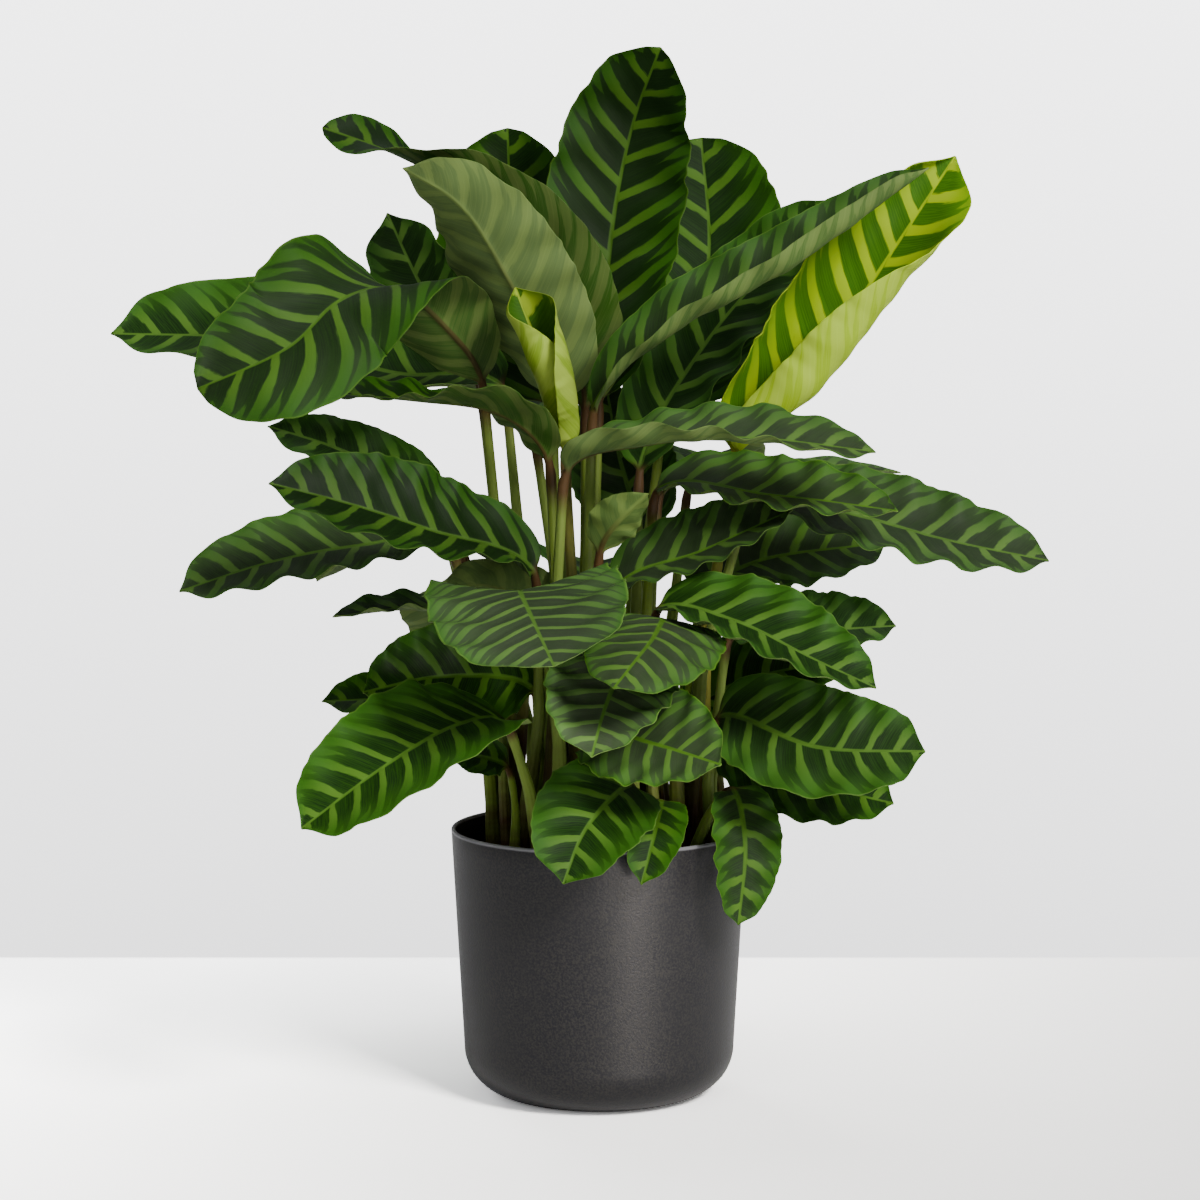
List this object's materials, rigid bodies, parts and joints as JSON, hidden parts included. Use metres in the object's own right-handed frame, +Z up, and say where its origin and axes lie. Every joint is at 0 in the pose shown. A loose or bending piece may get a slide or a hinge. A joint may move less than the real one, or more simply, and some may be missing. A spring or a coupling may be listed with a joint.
{
  "type": "potted calathea",
  "caption": "Potted calathea: a full clump of broad wavy leaves on upright stems, in a round tapering pot with a rounded foot.",
  "frame": {"origin": "centre of the pot's flat base", "axes": "+Z up along the pot's axis, the plant's best side looks towards -Y, +X to its right"},
  "size_m": [0.6952, 0.536, 0.7756],
  "materials": {
    "pot": "satin anthracite with a fine grain",
    "soil": "rough dark potting soil",
    "leaf": "satin dark green with pale green stripes",
    "young_leaf": "satin yellow-green with stripes"
  },
  "bodies": {
    "root": {"pot": "pot", "soil": "soil", "leaf_tall_centre": "leaf", "leaf_back_upper_left": "leaf", "leaf_back_upper_right": "leaf", "leaf_upper_left_lean": "leaf", "leaf_twisted_upper": "leaf", "leaf_rolled_new": "young_leaf", "leaf_upper_left_small": "leaf", "leaf_big_left": "leaf", "leaf_far_left": "leaf", "leaf_left_edge_on": "leaf", "leaf_long_diagonal": "leaf", "leaf_young_right": "young_leaf", "leaf_dark_upper_right": "leaf", "leaf_back_centre": "leaf", "leaf_right_upper": "leaf", "leaf_right_upper_second": "leaf", "leaf_right_long": "leaf", "leaf_right_edge_on": "leaf", "leaf_right_middle": "leaf", "leaf_right_behind": "leaf", "leaf_small_centre": "leaf", "leaf_left_middle": "leaf", "leaf_left_long": "leaf", "leaf_left_behind": "leaf", "leaf_left_flat": "leaf", "leaf_left_raised": "leaf", "leaf_front_big": "leaf", "leaf_front_right_upper": "leaf", "leaf_front_centre": "leaf", "leaf_front_low": "leaf", "leaf_rim_left": "leaf", "leaf_rim_middle": "leaf", "leaf_rim_right": "leaf", "leaf_rim_right_small": "leaf", "leaf_lower_right": "leaf", "leaf_lower_right_under": "leaf", "leaf_lower_right_behind": "leaf", "leaf_right_low": "leaf", "leaf_right_low_behind": "leaf", "leaf_lower_left": "leaf", "leaf_lower_left_behind": "leaf", "leaf_lower_left_far": "leaf", "leaf_lower_left_small": "leaf", "leaf_back_left_low": "leaf", "leaf_back_middle": "leaf", "leaf_back_right_low": "leaf", "leaf_back_right": "leaf", "leaf_back_left": "leaf", "leaf_back_high": "leaf", "leaf_back_right_high": "leaf"}
  },
  "joints": []
}
